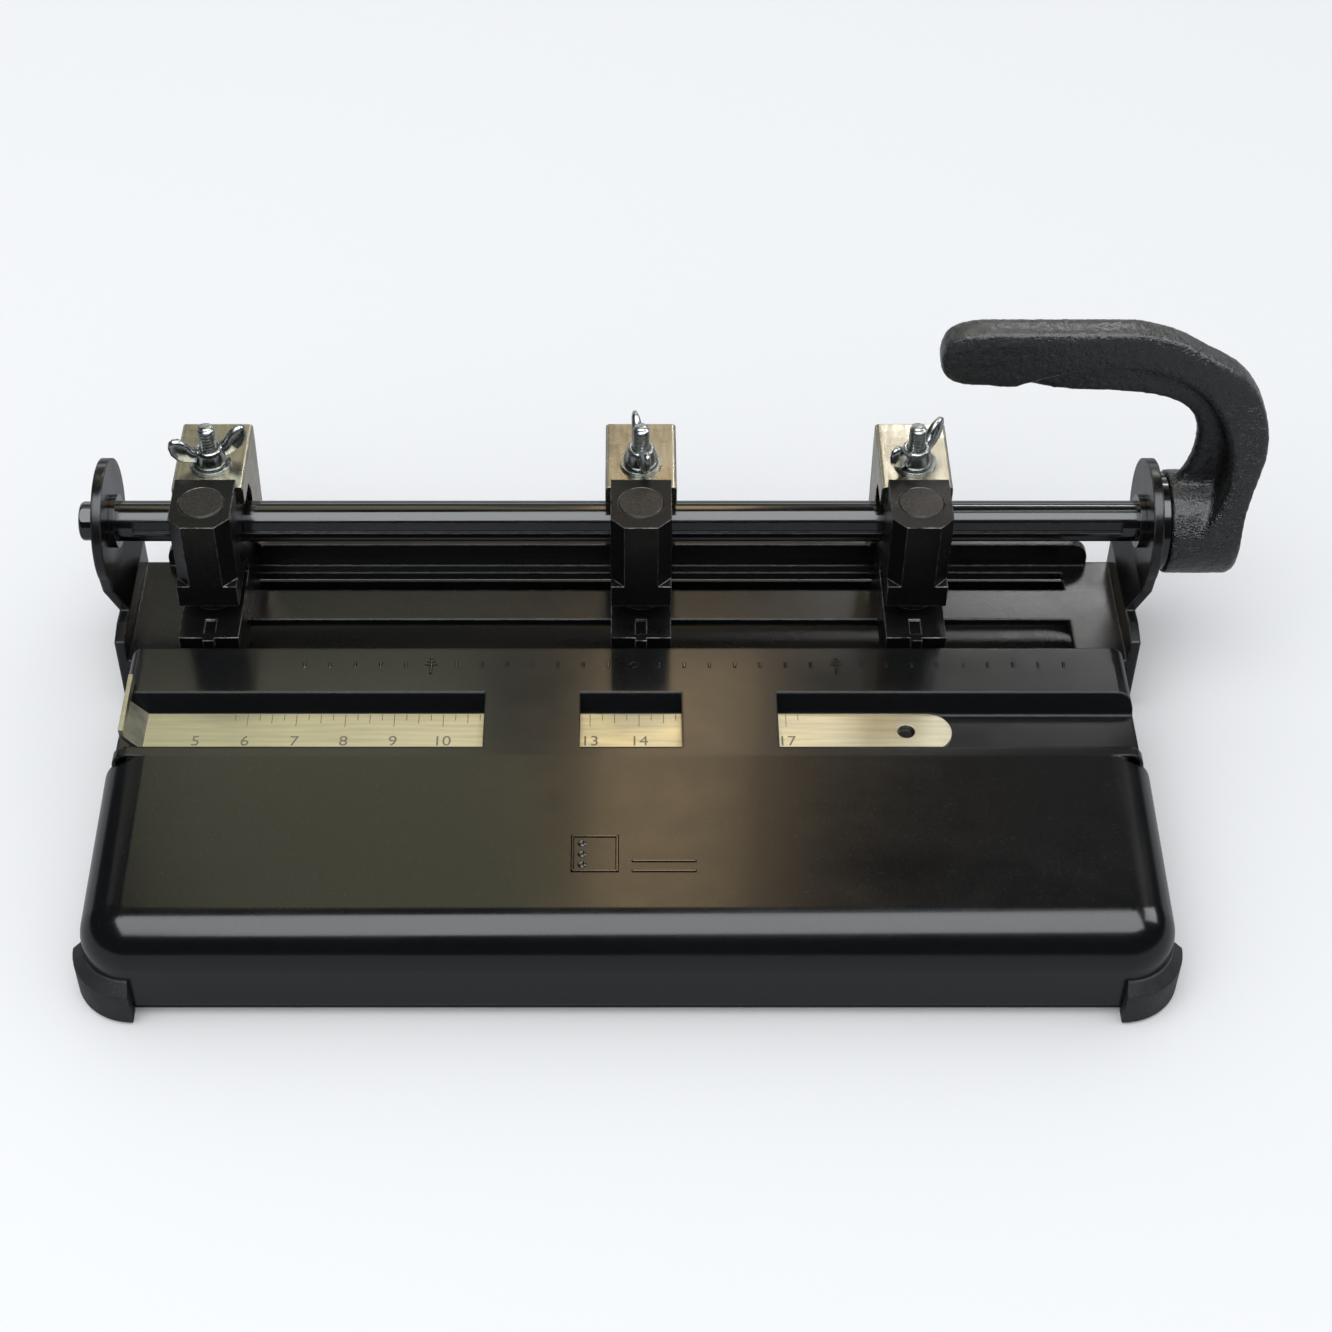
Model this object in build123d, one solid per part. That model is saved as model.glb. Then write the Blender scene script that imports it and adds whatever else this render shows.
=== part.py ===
from build123d import *
import math
import os

os.makedirs("parts", exist_ok=True)

# Three-hole paper punch with a hand lever.
# X runs along the punch, Y towards its back, Z up.  Sizes and places below are counted
# from the middle of the base on the surface it stands on.  Millimetres.

# ---- fits ----
running_fit = 0.05      # radial, turning or sliding round fits
slide_gap = 0.10        # flat faces that slide on each other
free_gap = 0.40         # faces that pass each other without touching
joint_gap = 0.02        # faces that are screwed or pressed together

# ---- shaft and deck: the places that everything else is counted from ----
base_width = 268.4
deck_z = 32.0
shaft_radius = 5.5
shaft_y = 61.1
shaft_rise = 14.0       # of the shaft's axis above the deck
half_width = base_width / 2
shaft_z = deck_z + shaft_rise

# ---- base cover: pressed steel shell ----
base_front_y = -69.5
cover_rear_y = shaft_y - 34.6
cover_sheet = 1.0
cover_bottom_z = 4.0
deck_drop = 4.0         # the front deck would be this much lower at the front face
deck_slope_y = -12.0    # where the slope starts
brow_radius = 11.5      # of the deck's front and side edges
rear_side_radius = 4.0
rear_inset = 2.6        # the deck behind the slope is this much narrower on each side
corner_radius = 12.5    # of the cover's front corners, seen from above
channel_front_y = -9.0
channel_rear_y = 6.8
channel_rear_top_y = 10.4
channel_floor_z = deck_z - 5.2
bridges = ((-37.0, -12.2), (14.0, 38.8))
post_radius = 3.5
post_y = cover_rear_y - 8.5
post_xs = (22.2 - half_width, -55.0, 55.0, half_width - 22.2)

# ---- punch frame: heavy stamping ----
frame_sheet = 2.5
plate_z = 18.0          # top of the rail plate
plate_front_y = -20.0
plate_half_x = half_width - 8.2
slot_half_x = half_width - 12.2
rear_slot_y = (shaft_y + 2.3, shaft_y + 9.2)
flange_y = rear_slot_y[1] + 3.2         # front face of the rear flange
flange_top_z = plate_z + 7.7
flange_half_x = half_width - 5.2
flange_corner = 5.0
end_sheet = 2.7
skirt_x = half_width + 1.3              # inner face of the end plate's lower part
eye_x = skirt_x + 3.5                   # inner face of the end plate's eye
joggle_z = (deck_z - 6.0, deck_z + 1.0)
eye_radius = shaft_radius + 11.5
toe_y = shaft_y - 25.6
toe_top_z = joggle_z[0] - 1.0
skirt_bottom_z = 4.5

# ---- drive shaft ----
key_width = 3.0
keyway_depth = 1.3
keyway_end = 6.0        # from the end plate to the keyway's end
key_angle = 20.0        # of the keyway, up from straight ahead
key_rise = 1.2
bush_wall = 1.1
bush_flange = 0.6
bush_flange_length = 1.6

# ---- pin, cam and die ----
pin_radius = 6.0
tip_radius = 3.55
pin_proud = 0.3
pin_chamfer = 0.4
tip_lift = 0.3          # the tip's rest height above the throat's roof, inside its bore
cam_hub_radius = shaft_radius + 1.8
pin_offset = pin_radius + cam_hub_radius + 0.7      # from the shaft's axis to the pin's axis
nose_arm = cam_hub_radius + 3.7
nose_radius = 2.0
nose_arm_half = 1.2     # half the thickness of the nose's arm
nose_rest = 30.5        # degrees up from straight ahead
nose_end = 10.6         # degrees down from straight ahead
nose_clearance = 0.40
die_radius = tip_radius + 2.45
die_depth = 6.0
die_clearance = 0.12
chip_clearance = 0.9
stroke = nose_arm * (math.sin(math.radians(nose_rest)) + math.sin(math.radians(nose_end)))
pin_y = shaft_y - pin_offset
front_slot_y = (pin_y - 19.9, pin_y + 4.5)

# ---- punch heads ----
head_xs = {"left": 22.8 - half_width, "centre": 3.6, "right": half_width - 57.4}
wing_angles = {"left": 20.0, "centre": 100.0, "right": 45.0}
head_width = 2 * pin_radius + 4.0
head_face_y = pin_y - pin_radius - 3.8
head_top_z = shaft_z + 19.0
throat = 5.0            # height of the paper gap
throat_back_y = shaft_y - 4.8
throat_floor_wall = 2.5
head_chamfer = 3.6
chamfer_stop_z = deck_z + 12.0
jaw_lead = 7.0          # the lower jaw's front edge, ahead of the block's face
tab_width = 3.0
tab_length = 1.1
tab_height = 3.0
groove_depth = 0.5
lug_rear_y = rear_slot_y[1] - 0.2
lug_top_z = shaft_z + 12.4
cam_slot = 6.4
hook_height = 3.0
hook_reach = 4.5

# ---- clamp ----
bracket_sheet = 1.4
bracket_top_z = shaft_z + 16.0
bracket_rear_y = flange_y + 9.1
stud_y = shaft_y + 5.3
stud_radius = 2.4
stud_foot_z = shaft_z + cam_hub_radius + 0.7
stud_top_z = bracket_top_z + 12.5
stud_chamfer = 0.5
washer_radius = 5.6
washer_thickness = 0.9
nut_radius = 4.7
nut_taper = 1.1
nut_height = 4.8
wing_span = 21.5
wing_rise = 9.6         # of the wing tips above the nut's foot
wing_half = 0.9         # half the thickness of a wing

# ---- handle ----
hub_radius = shaft_radius + 8.5
hub_start_x = eye_x + end_sheet + 2.7
hub_end_x = hub_start_x + 19.2
arm_x = hub_end_x + 2.2                 # the arm's and the grip's places are counted in from here
hub_rounding = 3.0
handle_back = 4.0       # the web's rear face, behind the shaft's axis
handle_front = 4.5      # the grip's front face, ahead of the shaft's axis
grip_top = 66.4         # above the shaft's axis
grip_start_x = arm_x - 86.4
lean_start = 6.0        # above the shaft's axis, where the front starts to lean back
lean_end = 46.0
web_front = 0.5         # the web's front face, ahead of the shaft's axis
thrust_radius = hub_radius - 1.0

# ---- ruler ----
ruler_width = 12.7
ruler_sheet = 1.15
ruler_start_x = 9.7 - half_width
ruler_end_x = ruler_start_x + 208.3
ruler_hole_x = ruler_end_x - 11.8
ruler_hole_radius = 2.3
stop_x = 4.4 - half_width
stop_top_z = deck_z + 3.4
stop_rear_y = 13.5
stop_gap = 0.3          # between the stop and the deck
leaf_half_x = 16.0
leaf_half_y = 4.0
leaf_sheet = 0.6
leaf_pad = 3.0
window_half_x = 5.0
spring_x = -24.6

# ---- chip pan ----
pan_sheet = 0.9
pan_bottom_z = 0.7
pan_gap = 0.7           # between the pan's sides and the cover's walls
pan_wall_z = 11.0

# ---- feet ----
foot_wall = 3.0
foot_lip_z = 10.6
foot_top_z = 13.8
foot_tab = 1.4          # how far a front foot tucks in under the cover
foot_chamfer = 0.8
shoe_length = 16.0
shoe_wall = 2.5
shoe_top_z = 12.0

# ---- fasteners, bolt, pins and springs ----
screw_radius = 1.5
screw_clearance = 0.1
screw_head_radius = 2.8
screw_head = 2.0
bolt_radius = 3.0
bolt_length = 12.0
bolt_across_flats = 10.0
bolt_head = 4.2
bolt_rounding = 1.2
end_washer_radius = shaft_radius + 3.5
end_washer_thickness = 1.4
cross_pin_radius = 2.0
cross_pin_x = hub_end_x - 7.3
cross_pin_top = hub_radius - 1.0
spring_well_radius = shaft_radius + 5.1
spring_well_depth = 9.0
spring_wire_radius = 0.7
spring_turns = 3.5
spring_pitch = 1.9
shaft_end_left = eye_x + end_sheet + 0.3
shaft_end_right = hub_end_x - 1.0

# ---- places worked out from the sizes above ----
base_rear_y = flange_y + frame_sheet
plate_bottom_z = plate_z - frame_sheet
throat_roof_z = deck_z + throat
jaw_front_y = head_face_y - jaw_lead


def box(x0, x1, y0, y1, z0, z1):
    """A block between two values on each axis."""
    block = Box(x1 - x0, y1 - y0, z1 - z0)
    return Pos((x0 + x1) / 2, (y0 + y1) / 2, (z0 + z1) / 2) * block


def rod_x(radius, x0, x1, y, z):
    """A round bar along X."""
    bar = Cylinder(radius, x1 - x0, rotation=(0, 90, 0))
    return Pos((x0 + x1) / 2, y, z) * bar


def rod_z(radius, z0, z1, x, y):
    """A round bar along Z."""
    return Pos(x, y, (z0 + z1) / 2) * Cylinder(radius, z1 - z0)


def tube_x(outer, inner, x0, x1, y, z):
    """A ring along X."""
    return rod_x(outer, x0, x1, y, z) - rod_x(inner, x0 - 1, x1 + 1, y, z)


def plate_yz(points, x0, x1):
    """A flat outline in Y and Z, made thick along X."""
    face = make_face(Polyline(*[(0, y, z) for y, z in points], close=True))
    return Pos(x0, 0, 0) * extrude(face, x1 - x0, dir=(1, 0, 0))


def plate_xz(points, y0, y1):
    """A flat outline in X and Z, made thick along Y."""
    face = make_face(Polyline(*[(x, 0, z) for x, z in points], close=True))
    return Pos(0, y0, 0) * extrude(face, y1 - y0, dir=(0, 1, 0))


def save(shape, name):
    """Write one node; a group of bodies stays a group."""
    solids = shape.solids()
    if len(solids) > 1:
        shape = Compound(children=list(solids))
    else:
        shape = solids[0]
    export_step(shape, "parts/" + name + ".step")


# ======================= base cover =======================

def cover_block(inset):
    """The cover's outer form, or its inside when inset is the sheet's thickness."""
    front = base_front_y + inset
    rear = cover_rear_y - inset
    deck = deck_z - inset
    low = cover_bottom_z - inset
    half = half_width - inset
    step_y = deck_slope_y - inset
    side_view = make_face(Polyline((0, front, low), (0, front, deck - deck_drop), (0, step_y, deck),
                                   (0, step_y, low), close=True))
    front_part = Pos(-half, 0, 0) * extrude(side_view, 2 * half, dir=(1, 0, 0))
    plan = Pos(0, (front + step_y) / 2) * RectangleRounded(2 * half, step_y - front, corner_radius - inset)
    plan += Pos(0, step_y - corner_radius) * Rectangle(2 * half, 2 * corner_radius)
    front_part &= extrude(plan, deck_z + 5)
    rim = [edge for edge in front_part.edges()
           if edge.bounding_box().min.Z > deck - deck_drop - 0.1 and edge.center().Y < step_y - 0.1]
    front_part = fillet(rim, brow_radius - inset)

    shoulder = half - rear_inset - rear_side_radius + inset
    turn_z = deck - rear_side_radius + inset
    sink = (rear_side_radius - inset) * math.sqrt(0.5)
    rear_view = make_face(Wire([
        Line((0, 0, low), (0, 0, deck)),
        Line((0, 0, deck), (shoulder, 0, deck)),
        ThreePointArc((shoulder, 0, deck), (shoulder + sink, 0, turn_z + sink),
                      (half - rear_inset, 0, turn_z)),
        Line((half - rear_inset, 0, turn_z), (half - rear_inset, 0, low)),
        Line((half - rear_inset, 0, low), (0, 0, low)),
    ]))
    right = Pos(0, step_y, 0) * extrude(rear_view, rear - step_y, dir=(0, 1, 0))
    return front_part + right + mirror(right, about=Plane.YZ)


def make_cover():
    half = base_width / 2
    shell = cover_block(0)
    inside = cover_block(cover_sheet)
    channel_wall = box(-half, half, channel_front_y - cover_sheet, channel_rear_top_y + cover_sheet,
                       channel_floor_z - cover_sheet, deck_z)
    inside -= channel_wall
    shell -= inside
    open_top = deck_z + 1
    run = (channel_rear_top_y - channel_rear_y) / (deck_z - channel_floor_z)
    trough_outline = [(channel_front_y, channel_floor_z), (channel_rear_y, channel_floor_z),
                      (channel_rear_top_y + run, open_top), (channel_front_y, open_top)]
    trough = plate_yz(trough_outline, -half - 1, half + 1)
    tunnel_outline = [(channel_front_y, channel_floor_z), (channel_rear_y, channel_floor_z),
                      (channel_rear_top_y - run * cover_sheet, deck_z - cover_sheet),
                      (channel_front_y, deck_z - cover_sheet)]
    tunnel = plate_yz(tunnel_outline, -half - 1, half + 1)
    cut = trough
    for start, end in bridges:
        cut -= box(start, end, channel_front_y - 1, channel_rear_top_y + 5, channel_floor_z - 1, open_top + 1)
    shell -= cut
    shell -= tunnel
    shell -= box(-plate_half_x - free_gap, plate_half_x + free_gap, cover_rear_y - 2, cover_rear_y + 1,
                 0, plate_z + joint_gap)
    # the narrow rear sides stop above the chip pan, which passes under them
    shell -= box(-half - 1, half + 1, deck_slope_y - cover_sheet, cover_rear_y + 1, 0, pan_wall_z + free_gap)
    shell -= box(spring_x - window_half_x, spring_x + window_half_x, -leaf_half_y, leaf_half_y,
                 channel_floor_z - 2, channel_floor_z + 1)
    for x in post_xs:
        post = rod_z(post_radius, plate_z + joint_gap, deck_z - cover_sheet / 2, x, post_y)
        shell += post
        shell -= rod_z(screw_radius - 0.05, plate_z - 1, deck_z - 4, x, post_y)
    return shell


# ======================= punch frame =======================

def eye_plate(side):
    """One end plate: an eye for the shaft on a skirt that reaches down to the foot."""
    neck_front = shaft_y - eye_radius + 3.0
    back = base_rear_y
    upper_z = joggle_z[1]
    lower_z = joggle_z[0]
    eye = rod_x(eye_radius, eye_x, eye_x + end_sheet, shaft_y, shaft_z)
    neck = plate_yz([(neck_front, upper_z), (back, upper_z), (back, shaft_z - 2),
                     (shaft_y + eye_radius, shaft_z), (shaft_y, shaft_z), (shaft_y - eye_radius, shaft_z)],
                    eye_x, eye_x + end_sheet)
    joggle = make_face(Polyline((skirt_x, 0, lower_z), (skirt_x + end_sheet, 0, lower_z),
                                (eye_x + end_sheet, 0, upper_z), (eye_x, 0, upper_z), close=True))
    joggle = Pos(0, neck_front, 0) * extrude(joggle, back - neck_front, dir=(0, 1, 0))
    skirt = plate_yz([(toe_y, skirt_bottom_z), (toe_y, toe_top_z), (neck_front - 5, toe_top_z + 1.5),
                      (neck_front, lower_z), (back, lower_z), (back, skirt_bottom_z)],
                     skirt_x, skirt_x + end_sheet)
    plate = eye + neck + joggle + skirt
    plate -= rod_x(shaft_radius + running_fit + bush_wall, eye_x - 1, eye_x + end_sheet + 1, shaft_y, shaft_z)
    if side < 0:
        plate = mirror(plate, about=Plane.YZ)
    return plate


def make_frame():
    plate = box(-plate_half_x, plate_half_x, plate_front_y, toe_y, plate_bottom_z, plate_z)
    plate += box(-skirt_x, skirt_x, toe_y, flange_y + frame_sheet / 2, plate_bottom_z, plate_z)
    for y0, y1 in (front_slot_y, rear_slot_y):
        plate -= box(-slot_half_x, slot_half_x, y0, y1, plate_bottom_z - 1, plate_z + 1)
    flange = box(-flange_half_x, flange_half_x, flange_y, base_rear_y, plate_bottom_z, flange_top_z)
    corners = flange.edges().filter_by(Axis.Y).group_by(Axis.Z)[-1]
    flange = fillet(corners, flange_corner)
    frame = plate + flange + eye_plate(1) + eye_plate(-1)
    for x in post_xs:
        frame -= rod_z(screw_radius + 0.2, plate_bottom_z - 1, plate_z + 1, x, post_y)
    return frame


# ======================= shaft line =======================

def key_cut(length_x0, length_x1, depth, width, reach):
    """A bar in the keyway's direction, from depth inside the shaft's surface to reach."""
    bar = box(length_x0, length_x1, -reach, -(shaft_radius - depth), -width / 2, width / 2)
    return Pos(0, shaft_y, shaft_z) * (Rot(-key_angle, 0, 0) * bar)


def make_shaft():
    shaft = rod_x(shaft_radius, -shaft_end_left, shaft_end_right, shaft_y, shaft_z)
    shaft -= key_cut(keyway_end - eye_x, eye_x - keyway_end, keyway_depth, key_width, shaft_radius + 1)
    shaft -= rod_x(bolt_radius, -shaft_end_left - 1, -shaft_end_left + bolt_length, shaft_y, shaft_z)
    shaft -= rod_z(cross_pin_radius, shaft_z - hub_radius, shaft_z + hub_radius, cross_pin_x, shaft_y)
    return shaft


def make_bush(side):
    inner = shaft_radius + running_fit
    body = tube_x(inner + bush_wall - joint_gap, inner, eye_x - joint_gap, eye_x + end_sheet,
                  shaft_y, shaft_z)
    flange = tube_x(inner + bush_wall + bush_flange, inner, eye_x - bush_flange_length, eye_x - joint_gap,
                    shaft_y, shaft_z)
    bush = body + flange
    if side < 0:
        bush = mirror(bush, about=Plane.YZ)
    return bush


def on_arm(points):
    """Points given as the distance in from the arm's outer side and the height above the shaft's axis."""
    return [(arm_x - inward, 0, shaft_z + height) for inward, height in points]


def make_handle():
    """Cast lever: a hub, then an arm and a grip of open section with a web at the back."""
    outer = 2.8
    inner = arm_x - hub_start_x - 0.6
    shoulder = (37.0, grip_top)
    grip_end = (73.8, grip_top)
    grip_under = (75.8, grip_top - 17.0)
    arm_root = (18.4, 16.5)
    outside = Spline(*on_arm([(outer, 9.0), (-1.0, 31.0), (4.4, 47.5), (10.6, 54.0), (19.0, 59.0), shoulder]),
                     tangents=[(0.1, 0, 1), (-1, 0, 0.22)])
    tip_reach = arm_x - grip_start_x
    tip = Spline(*on_arm([grip_end, (tip_reach, grip_top - 8.4), grip_under]),
                 tangents=[(-1, 0, 0), (1, 0, 0)])
    inside = Spline(
        *on_arm([grip_under, (57.8, grip_top - 20.6), (33.8, grip_top - 22.6), (19.3, 37.5), arm_root]),
        tangents=[(1, 0, 0), (-0.35, 0, -1)])
    outline = make_face(Wire([
        Line(*on_arm([(outer, 0.0), (outer, 9.0)])),
        outside,
        Line(*on_arm([shoulder, grip_end])),
        tip,
        inside,
        Line(*on_arm([arm_root, (inner, 11.0)])),
        Line(*on_arm([(inner, 11.0), (inner, 0.0)])),
        Line(*on_arm([(inner, 0.0), (outer, 0.0)])),
    ]))
    y_back = shaft_y + handle_back
    y_front = shaft_y - hub_radius
    blank = Pos(0, y_front, 0) * extrude(outline, y_back - y_front, dir=(0, 1, 0))
    # the casting's front leans back from the hub to the grip
    lean = [(y_front + 0.6, shaft_z - 1), (y_front + 0.6, shaft_z + lean_start),
            (shaft_y - handle_front, shaft_z + lean_end), (shaft_y - handle_front, shaft_z + grip_top + 1),
            (y_back + 1, shaft_z + grip_top + 1), (y_back + 1, shaft_z - 1)]
    blank &= plate_yz(lean, grip_start_x - 1, hub_end_x + 20)
    # open pocket ahead of the web; the rim that closes it runs along the outside
    pocket_start = (71.0, grip_top - 19.4)
    rim = Spline(*on_arm([
        pocket_start, (60.0, grip_top - 15.0), (50.0, grip_top - 12.4), (37.8, grip_top - 11.8),
        (19.8, grip_top - 19.0), (9.4, 30.0), (11.6, 10.0), (19.8, 2.0)]))
    pocket = make_face(Wire([
        rim,
        Line(*on_arm([(19.8, 2.0), (45.8, 2.0)])),
        Line(*on_arm([(45.8, 2.0), pocket_start])),
    ]))
    web_y = shaft_y - web_front
    blank -= Pos(0, y_front - 1, 0) * extrude(pocket, web_y - y_front + 1, dir=(0, 1, 0))
    hub = rod_x(hub_radius, hub_start_x, hub_end_x, shaft_y, shaft_z)
    hub = fillet(hub.edges().filter_by(GeomType.CIRCLE).sort_by(Axis.X)[-1], hub_rounding)
    handle = blank + hub
    handle -= rod_x(shaft_radius + joint_gap, hub_start_x - 1, shaft_end_right + joint_gap, shaft_y, shaft_z)
    handle -= tube_x(spring_well_radius, shaft_radius, hub_start_x - 1, hub_start_x + spring_well_depth,
                     shaft_y, shaft_z)
    handle -= rod_z(cross_pin_radius + joint_gap, shaft_z - hub_radius - 1,
                    shaft_z + cross_pin_top + joint_gap, cross_pin_x, shaft_y)
    return handle


def make_spring():
    """Return spring, wound round the shaft inside the handle's hub."""
    coil_radius = (spring_well_radius + shaft_radius) / 2
    height = spring_turns * spring_pitch
    path = Helix(pitch=spring_pitch, height=height, radius=coil_radius)
    start = Plane(origin=path @ 0, z_dir=path % 0)
    coil = sweep(start * Circle(spring_wire_radius), path=path, is_frenet=True)
    coil = Rot(0, 90, 0) * coil
    return Pos(hub_start_x + spring_wire_radius + 0.5, shaft_y, shaft_z) * coil


# ======================= punch heads =======================

def make_head(x):
    """One head casting, standing at x."""
    half = head_width / 2
    z_hook = plate_bottom_z - slide_gap
    outline = [
        (jaw_front_y, plate_z + slide_gap), (jaw_front_y, deck_z), (throat_back_y, deck_z),
        (throat_back_y, throat_roof_z), (head_face_y, throat_roof_z), (head_face_y, head_top_z),
        (throat_back_y, head_top_z), (throat_back_y, lug_top_z), (lug_rear_y, lug_top_z),
        (lug_rear_y, z_hook - hook_height), (rear_slot_y[0] - hook_reach, z_hook - hook_height),
        (rear_slot_y[0] - hook_reach, z_hook), (rear_slot_y[0] + slide_gap, z_hook),
        (rear_slot_y[0] + slide_gap, plate_z + slide_gap),
    ]
    body = plate_yz(outline, -half, half)
    # chamfered front corners that stop above the throat
    for side in (-1, 1):
        wedge = Pos(side * half, head_face_y, 0) * (Rot(0, 0, 45) * Box(
            head_chamfer * math.sqrt(2), head_chamfer * math.sqrt(2), 2 * (head_top_z - chamfer_stop_z)))
        body -= Pos(0, 0, head_top_z) * wedge
    # pin bore, tip bore, chip hole and die seat
    bore_end_z = throat_roof_z + throat_floor_wall
    body -= rod_z(pin_radius + running_fit, bore_end_z, head_top_z + 1, 0, pin_y)
    body -= rod_z(tip_radius + running_fit, throat_roof_z - 1, bore_end_z + 1, 0, pin_y)
    body -= rod_z(die_radius, deck_z - die_depth, deck_z + 1, 0, pin_y)
    body -= rod_z(tip_radius + chip_clearance, plate_z - 1, deck_z, 0, pin_y)
    # shaft bore and the cam's slot
    body -= rod_x(shaft_radius + running_fit, -half - 1, half + 1, shaft_y, shaft_z)
    reach = nose_arm + nose_radius + free_gap
    room = rod_x(cam_hub_radius + free_gap, -cam_slot / 2, cam_slot / 2, shaft_y, shaft_z)
    room += rod_x(reach, -cam_slot / 2, cam_slot / 2, shaft_y, shaft_z) & box(
        -half, half, shaft_y - reach - 1, shaft_y, bore_end_z, shaft_z + cam_hub_radius + 1.7)
    body -= room
    body -= rod_z(stud_radius, stud_foot_z, lug_top_z + 1, 0, stud_y)
    # index tab at the front of the jaw
    tab_half = tab_width / 2
    body += box(-tab_half, tab_half, jaw_front_y - tab_length, jaw_front_y + 1, deck_z - tab_height, deck_z)
    body -= box(-tab_half, tab_half, jaw_front_y + 1.5, head_face_y, deck_z - groove_depth, deck_z + 1)
    return Pos(x, 0, 0) * body


def make_pin(x):
    rest_end_z = throat_roof_z + tip_lift
    shoulder_z = throat_roof_z + throat_floor_wall + stroke + 0.15
    body = rod_z(pin_radius, shoulder_z, head_top_z + pin_proud, 0, pin_y)
    body = chamfer(body.edges().filter_by(GeomType.CIRCLE).group_by(Axis.Z)[-1], pin_chamfer)
    body += rod_z(tip_radius, rest_end_z, shoulder_z + 1, 0, pin_y)
    nose_z = shaft_z + nose_arm * math.sin(math.radians(nose_rest))
    half = nose_radius + nose_clearance
    notch_front = shaft_y - nose_arm - nose_radius - nose_clearance
    body -= box(-pin_radius - 1, pin_radius + 1, notch_front, shaft_y, nose_z - half, nose_z + half)
    return Pos(x, 0, 0) * body


def make_cam(x):
    """Cam at rest: its nose points up and ahead, in the pin's notch."""
    half = cam_slot / 2 - slide_gap
    hub = rod_x(cam_hub_radius, -half, half, 0, 0)
    arm = box(-half, half, -nose_arm, 0, -nose_arm_half, nose_arm_half)
    tip = rod_x(nose_radius, -half, half, -nose_arm, 0)
    cam = Rot(-nose_rest, 0, 0) * (hub + arm + tip)
    cam = Pos(0, shaft_y, shaft_z) * cam
    cam -= rod_x(shaft_radius + running_fit, -half - 1, half + 1, shaft_y, shaft_z)
    cam -= key_cut(-half - 1, half + 1, keyway_depth, key_width + 2 * joint_gap,
                   shaft_radius + key_rise + joint_gap)
    return Pos(x, 0, 0) * cam


def make_cam_key(x):
    half = cam_slot / 2 - slide_gap
    key = key_cut(-half, half, keyway_depth - slide_gap, key_width - 2 * slide_gap, shaft_radius + key_rise)
    return Pos(x, 0, 0) * key


def make_die(x):
    die = rod_z(die_radius - joint_gap, deck_z - die_depth + joint_gap, deck_z, 0, pin_y)
    die -= rod_z(tip_radius + die_clearance, deck_z - die_depth - 1, deck_z + 1, 0, pin_y)
    return Pos(x, 0, 0) * die


def make_bracket(x):
    """Inverted U: its rear legs press on the frame's rear flange."""
    inner = head_width / 2 + slide_gap
    outer = inner + bracket_sheet
    front = throat_back_y + free_gap
    under = bracket_top_z - bracket_sheet
    top = box(-outer, outer, front, bracket_rear_y, under, bracket_top_z)
    top -= rod_z(stud_radius + 0.3, under - 1, bracket_top_z + 1, 0, stud_y)
    side = [(front, bracket_top_z - 0.2), (front, under - 4.5), (shaft_y + 4.0, under - 4.5),
            (shaft_y + shaft_radius + 1.2, under - 9.0), (shaft_y + shaft_radius + 1.2, flange_top_z + 6.0),
            (flange_y - 0.8, flange_top_z + joint_gap), (base_rear_y + 1.2, flange_top_z + joint_gap),
            (bracket_rear_y - 1.5, flange_top_z + 9.0), (bracket_rear_y, bracket_top_z - 6.0),
            (bracket_rear_y, bracket_top_z - 0.2)]
    bracket = top + plate_yz(side, inner, outer) + plate_yz(side, -outer, -inner)
    ridges = bracket.edges().filter_by(Axis.Y).group_by(Axis.Z)[-1]
    bracket = fillet(ridges, 1.0)
    return Pos(x, 0, 0) * bracket


def make_stud(x):
    stud = rod_z(stud_radius - joint_gap, stud_foot_z + joint_gap, stud_top_z, 0, stud_y)
    stud = chamfer(stud.edges().filter_by(GeomType.CIRCLE).group_by(Axis.Z)[-1], stud_chamfer)
    return Pos(x, 0, 0) * stud


def make_washer(x):
    z0 = bracket_top_z + joint_gap
    ring = rod_z(washer_radius, z0, z0 + washer_thickness, 0, stud_y)
    ring -= rod_z(stud_radius + running_fit, z0 - 1, z0 + 2, 0, stud_y)
    return Pos(x, 0, 0) * ring


def make_wing_nut(x, turn):
    """Conical collar with two wings that rise outwards."""
    z0 = bracket_top_z + washer_thickness + 2 * joint_gap
    collar = Pos(0, 0, z0 + nut_height / 2) * Cone(nut_radius, nut_radius - nut_taper, nut_height)
    half = wing_span / 2
    tip_z = z0 + wing_rise
    root = nut_radius - 2.4
    wing = [(root, z0 + 0.9), (nut_radius + 1.0, z0 + 1.8), (half - 1.2, tip_z - 5.4),
            (half, tip_z - 2.2), (half - 0.5, tip_z - 0.6), (half - 1.9, tip_z),
            (half - 3.4, tip_z - 0.8), (nut_radius + 0.6, z0 + 5.4), (root, z0 + nut_height - 0.2)]
    nut = collar
    for side in (-1, 1):
        nut += plate_xz([(side * px, pz) for px, pz in wing], -wing_half, wing_half)
    nut -= rod_z(stud_radius + running_fit, z0 - 1, z0 + nut_height + 8, 0, 0)
    return Pos(x, stud_y, 0) * (Rot(0, 0, turn) * nut)


# ======================= ruler, pan and feet =======================

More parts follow.
